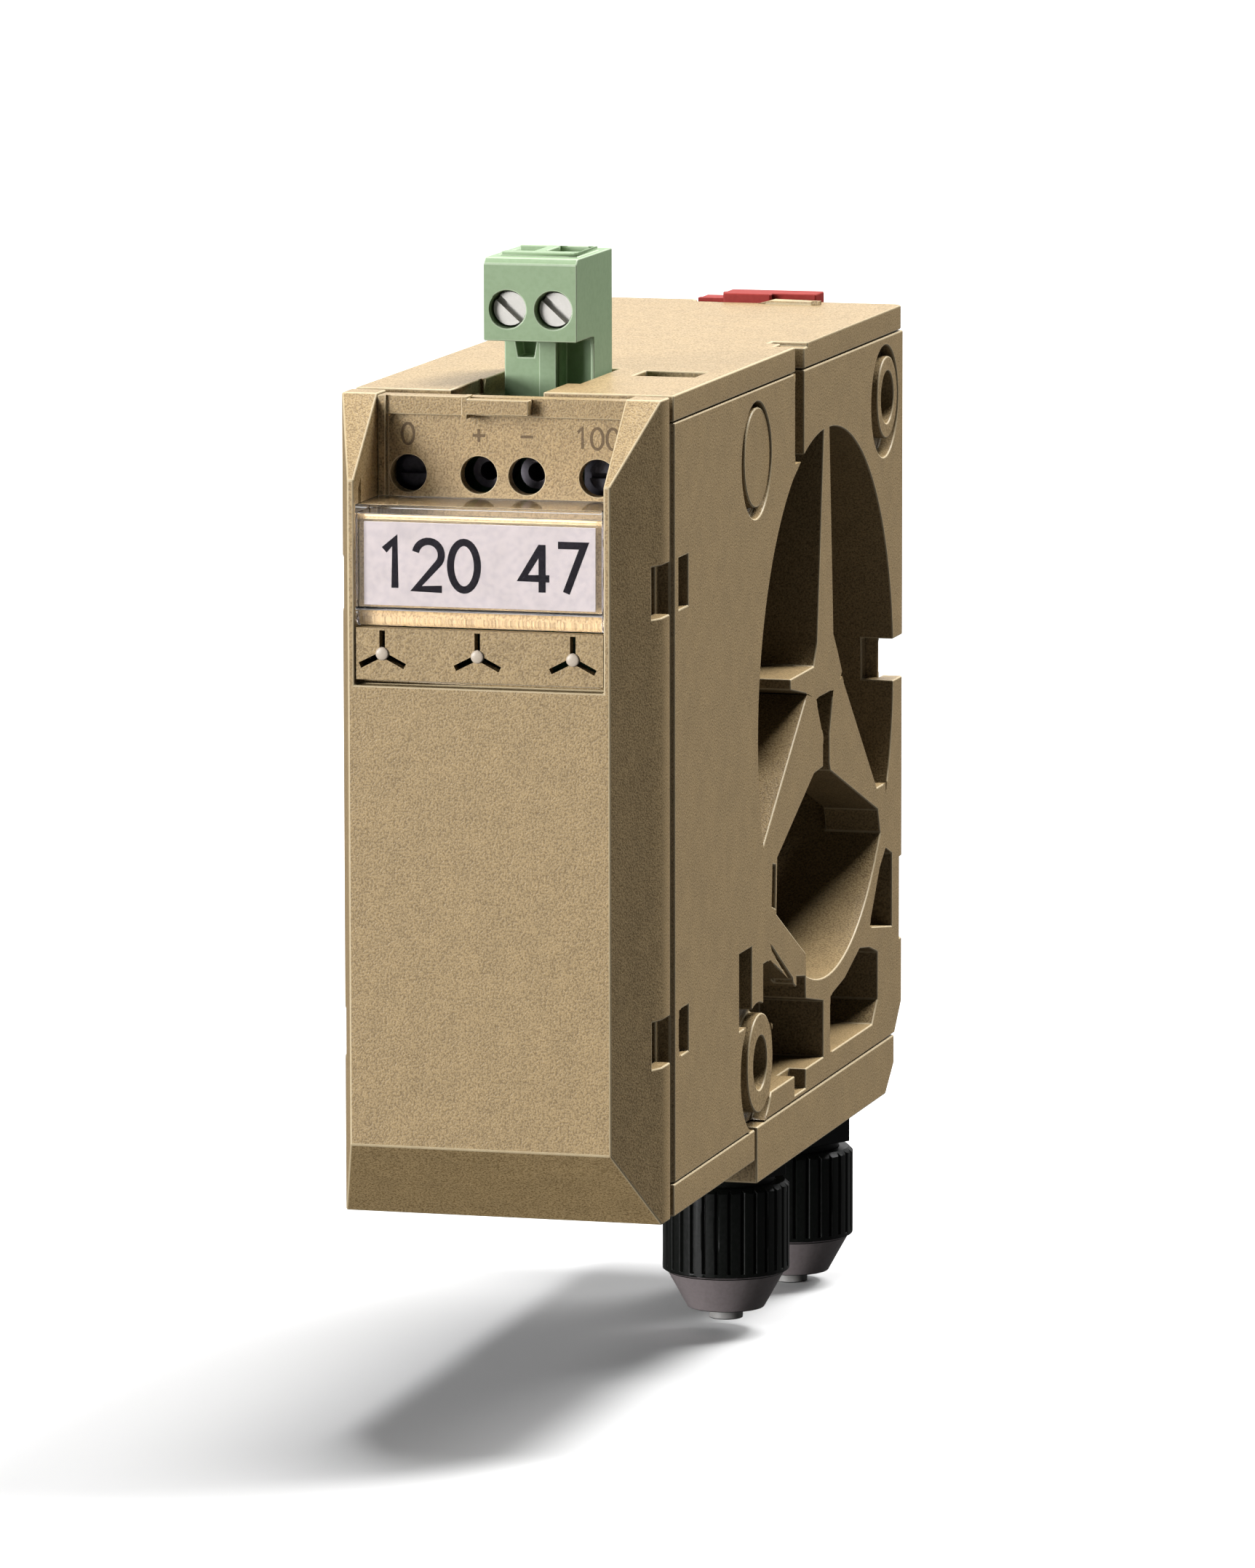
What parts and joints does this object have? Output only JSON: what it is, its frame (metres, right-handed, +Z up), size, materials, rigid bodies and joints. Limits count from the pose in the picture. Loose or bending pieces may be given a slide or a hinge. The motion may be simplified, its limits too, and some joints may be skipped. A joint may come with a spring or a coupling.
{
  "type": "electro-pneumatic converter",
  "caption": "Slim rail-mounted electro-pneumatic converter: bevelled hood with clear flap, pluggable terminal, ribbed round side chamber and two tube fittings below.",
  "frame": {"origin": "centre of the 35 mm rail on the back face of the housing, at half the width", "axes": "+Z up, -Y towards the front hood, +X towards the side with the round chamber"},
  "size_m": [0.035, 0.1192, 0.1246],
  "materials": {
    "tan_plastic": "fine spark-eroded grain, matt",
    "clear_plastic": "clear moulded polycarbonate",
    "paper": "printed marker strip, blank",
    "green_plastic": "satin moulded polyamide",
    "zinc_steel": "zinc-plated",
    "tinned_brass": "nickel-plated turned brass",
    "board": "solder-resist green",
    "component_black": "black moulded",
    "adjuster_nylon": "dark grey moulded",
    "black_nylon": "glass-filled nylon, satin",
    "red_plastic": "satin moulded",
    "rubber": "moulded nitrile",
    "aluminium": "die-cast and machined",
    "copper_wire": "enamelled copper wire",
    "tube_nylon": "natural polyamide tube"
  },
  "bodies": {
    "housing": {"housing_shell": "tan_plastic", "side_frame": "tan_plastic", "front_hood": "tan_plastic", "adjuster_panel": "tan_plastic", "vent_strip": "tan_plastic", "connection_block": "tan_plastic", "plug_header": "green_plastic", "spare_header": "green_plastic", "housing_screws": "zinc_steel", "latch_spring": "zinc_steel", "booster_spring": "zinc_steel", "unit_yoke": "zinc_steel", "magnet_core": "zinc_steel", "header_pins": "tinned_brass", "test_jacks": "tinned_brass", "nozzle": "tinned_brass", "control_board": "board", "main_board": "board", "board_components": "component_black", "coil_bobbin": "component_black", "trimmer_cases": "component_black", "supply_fitting": "black_nylon", "output_fitting": "black_nylon", "fitting_seals": "rubber", "booster_diaphragm": "rubber", "booster_body": "aluminium", "booster_cover": "aluminium", "coil_winding": "copper_wire", "air_tubes": "tube_nylon", "clamp_rings": "tube_nylon"},
    "marker_flap": {"marker_flap": "clear_plastic", "marker_label": "paper"},
    "terminal_plug": {"plug_body": "green_plastic"},
    "clamp_screw_1": {"clamp_screw_1": "zinc_steel"},
    "clamp_screw_2": {"clamp_screw_2": "zinc_steel"},
    "wire_cage_1": {"wire_cage_1": "zinc_steel"},
    "wire_cage_2": {"wire_cage_2": "zinc_steel"},
    "zero_adjuster": {"zero_adjuster": "adjuster_nylon"},
    "span_adjuster": {"span_adjuster": "adjuster_nylon"},
    "supply_nut": {"supply_nut": "black_nylon"},
    "output_nut": {"output_nut": "black_nylon"},
    "rail_latch": {"rail_latch": "tan_plastic", "red_tab": "red_plastic"},
    "flapper": {"flapper": "zinc_steel"},
    "booster_plunger": {"booster_plunger": "aluminium"}
  },
  "joints": [
    {"name": "flap_hinge", "type": "hinge", "parent": "housing", "child": "marker_flap", "pos_m": [0, -0.115, 0.033], "axis": [1, 0, 0], "range_deg": [0, 95]},
    {"name": "plug_slide", "type": "slide", "parent": "housing", "child": "terminal_plug", "axis": [0, 0, 1], "range_m": [0, 0.014]},
    {"name": "zero_turn", "type": "hinge", "parent": "housing", "child": "zero_adjuster", "pos_m": [-0.0105, -0.1, 0.04715], "axis": [0, 1, 0], "range_deg": [-135, 135]},
    {"name": "span_turn", "type": "hinge", "parent": "housing", "child": "span_adjuster", "pos_m": [0.01025, -0.1, 0.04715], "axis": [0, 1, 0], "range_deg": [-135, 135]},
    {"name": "supply_nut_turn", "type": "hinge", "parent": "housing", "child": "supply_nut", "pos_m": [0.009, -0.0478, -0.0423], "axis": [0, 0, 1], "continuous": true},
    {"name": "output_nut_turn", "type": "hinge", "parent": "housing", "child": "output_nut", "pos_m": [0.009, -0.0184, -0.0433], "axis": [0, 0, 1], "continuous": true},
    {"name": "latch_slide", "type": "slide", "parent": "housing", "child": "rail_latch", "axis": [0, 0, 1], "range_m": [0, 0.004], "stiffness_N_per_m": 400, "springref_m": -0.002, "deforming": ["latch_spring"]},
    {"name": "flapper_tilt", "type": "hinge", "parent": "housing", "child": "flapper", "pos_m": [0, -0.0748, 0.0161], "axis": [1, 0, 0], "range_deg": [-0.8, 1.2], "stiffness_Nm_per_rad": 0.02},
    {"name": "plunger_slide", "type": "slide", "parent": "housing", "child": "booster_plunger", "axis": [0, 0, 1], "range_m": [-0.0006, 0], "stiffness_N_per_m": 800, "springref_m": 0.002, "deforming": ["booster_spring"]},
    {"name": "wire_cage_1_slide", "type": "slide", "parent": "terminal_plug", "child": "wire_cage_1", "axis": [0, 1, 0], "range_m": [0, 0.002]},
    {"name": "clamp_screw_1_turn", "type": "hinge", "parent": "terminal_plug", "child": "clamp_screw_1", "pos_m": [-0.00345, -0.0915, 0.0634], "axis": [0, 1, 0], "range_deg": [0, 1440.01]},
    {"name": "wire_cage_2_slide", "type": "slide", "parent": "terminal_plug", "child": "wire_cage_2", "axis": [0, 1, 0], "range_m": [0, 0.002]},
    {"name": "clamp_screw_2_turn", "type": "hinge", "parent": "terminal_plug", "child": "clamp_screw_2", "pos_m": [0.00163, -0.0915, 0.0634], "axis": [0, 1, 0], "range_deg": [0, 1440.01]}
  ],
  "couplings": [
    {"joint": "clamp_screw_1_turn", "follows": "wire_cage_1_slide", "rad_per_m": 12566},
    {"joint": "clamp_screw_2_turn", "follows": "wire_cage_2_slide", "rad_per_m": 12566}
  ]
}
